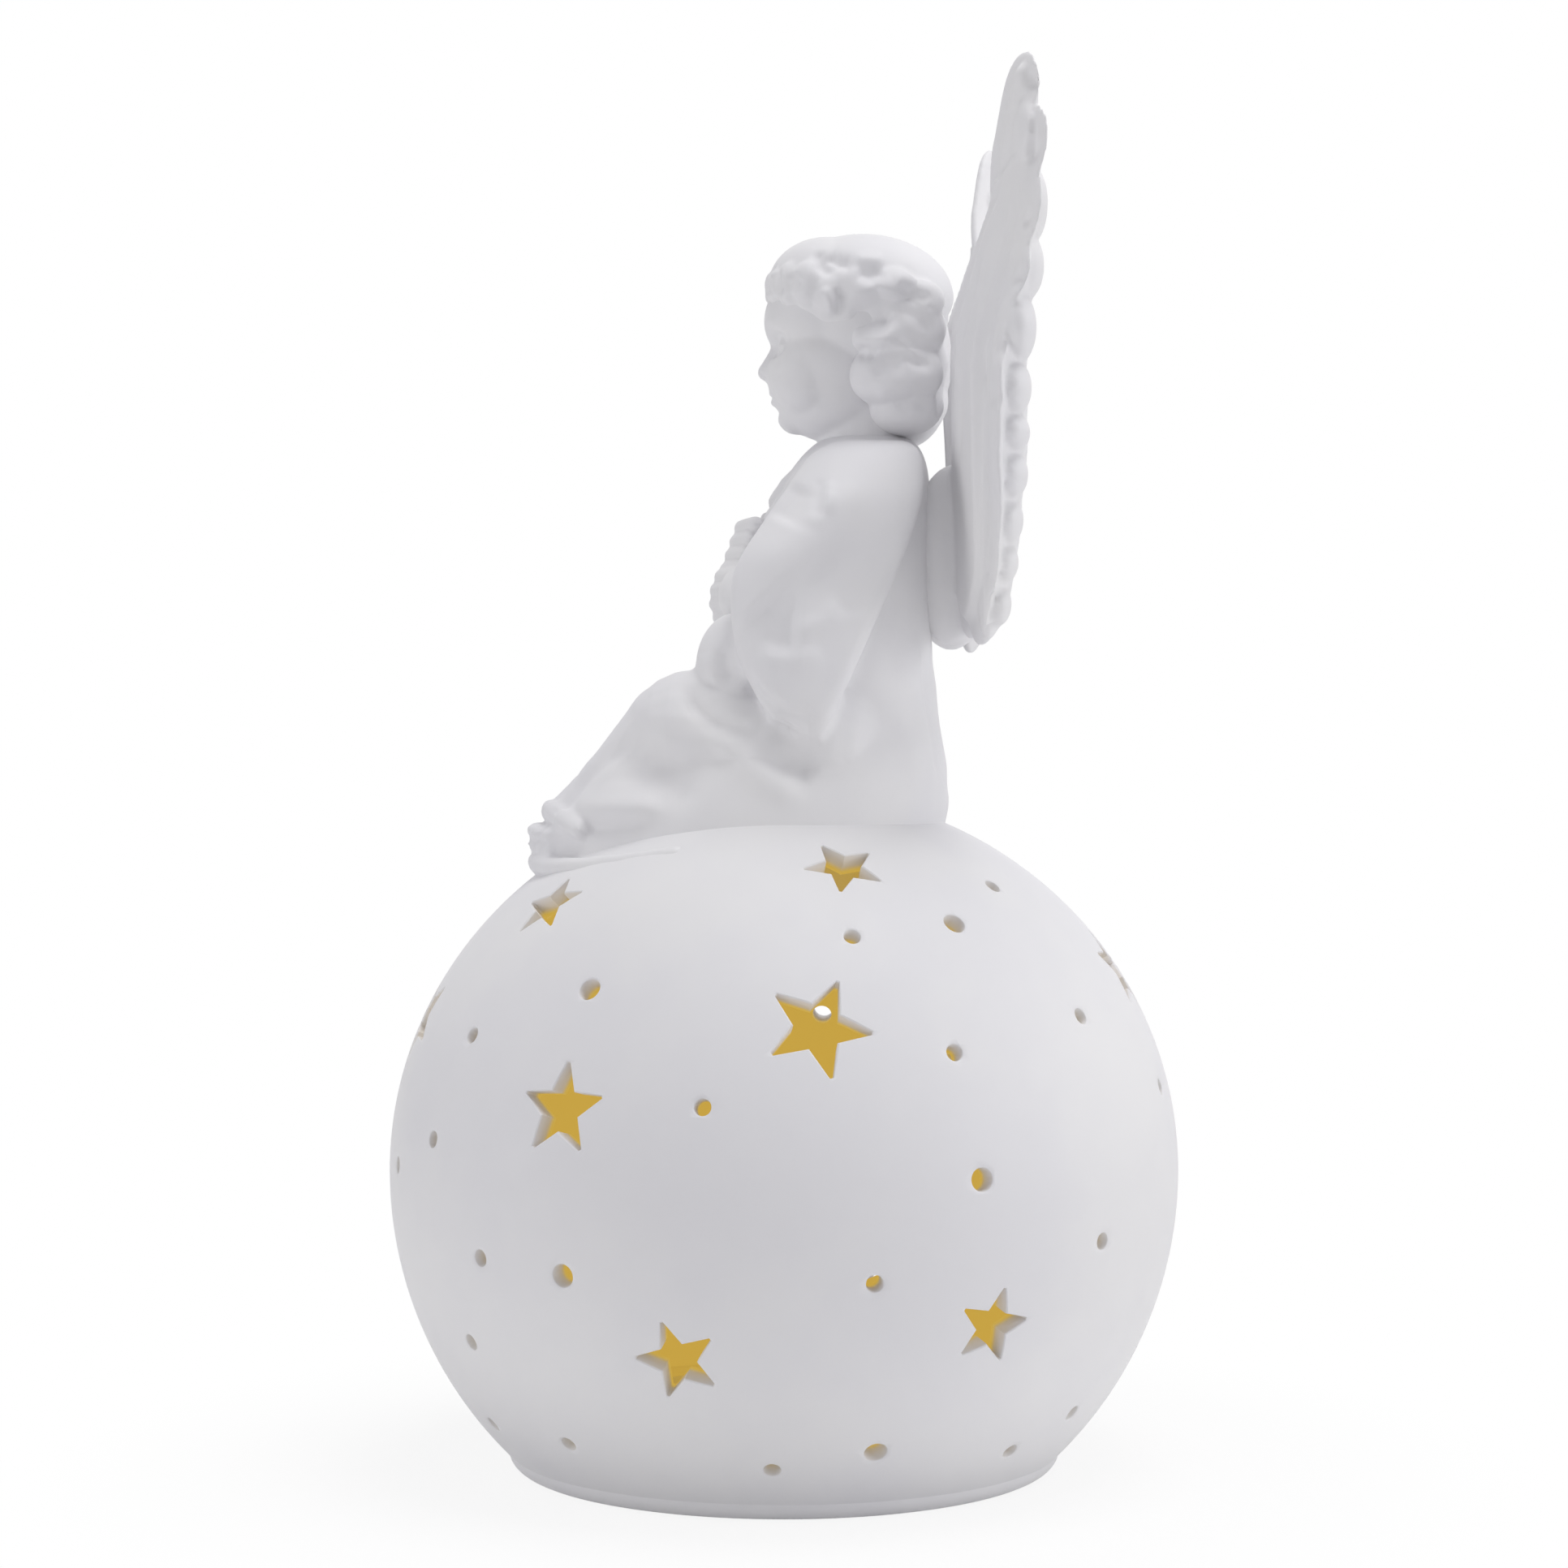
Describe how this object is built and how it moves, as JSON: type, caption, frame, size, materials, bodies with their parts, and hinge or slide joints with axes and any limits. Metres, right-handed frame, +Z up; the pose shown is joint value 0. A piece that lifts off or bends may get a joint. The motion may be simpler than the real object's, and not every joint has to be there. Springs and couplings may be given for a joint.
{
  "type": "lit ceramic angel ornament",
  "caption": "Ceramic child angel seated on a hollow globe pierced with stars and dots, with a plug-in battery light unit in its foot.",
  "frame": {"origin": "centre of the foot ring, on the globe's axis, at the surface that it stands on", "axes": "+Z up along the globe's axis, the angel looks along -Y, its left side is at +X"},
  "size_m": [0.14, 0.14, 0.2418],
  "materials": {
    "bisque": "matte unglazed bisque porcelain",
    "case_plastic": "fine texture moulded plastic",
    "silicone": "matte translucent silicone",
    "steel": "nickel-plated steel",
    "brass": "plain spring brass",
    "board": "green solder mask on a resin board",
    "lamp": "yellow phosphor resin, lit",
    "chip": "black moulded resin",
    "frosted": "frosted cap lit warm from below"
  },
  "bodies": {
    "ceramic": {"ceramic_angel_globe": "bisque"},
    "light_unit": {"unit_case": "case_plastic", "base_plate": "case_plastic", "seal_ring": "silicone", "cell_tray": "case_plastic", "coin_cell_1": "steel", "coin_cell_2": "steel", "top_contact_1": "brass", "top_contact_2": "brass", "side_contact_1": "brass", "side_contact_2": "brass", "circuit_board": "board", "lamp_1": "lamp", "lamp_2": "lamp", "lamp_3": "lamp", "resistor": "chip", "light_dome": "frosted", "switch_body": "chip", "case_screw_1": "steel", "case_screw_2": "steel", "case_screw_3": "steel", "case_screw_4": "steel"},
    "door": {"battery_door": "case_plastic"},
    "knob": {"switch_knob": "chip"}
  },
  "joints": [
    {"name": "unit_pull", "type": "slide", "parent": "ceramic", "child": "light_unit", "axis": [0, 0, -1], "range_m": [0, 0.04]},
    {"name": "door_swing", "type": "hinge", "parent": "light_unit", "child": "door", "pos_m": [0, -0.0125, 0.0017], "axis": [-1, 0, 0], "range_deg": [0, 95]},
    {"name": "switch_slide", "type": "slide", "parent": "light_unit", "child": "knob", "axis": [1, 0, 0], "range_m": [0, 0.002]}
  ]
}
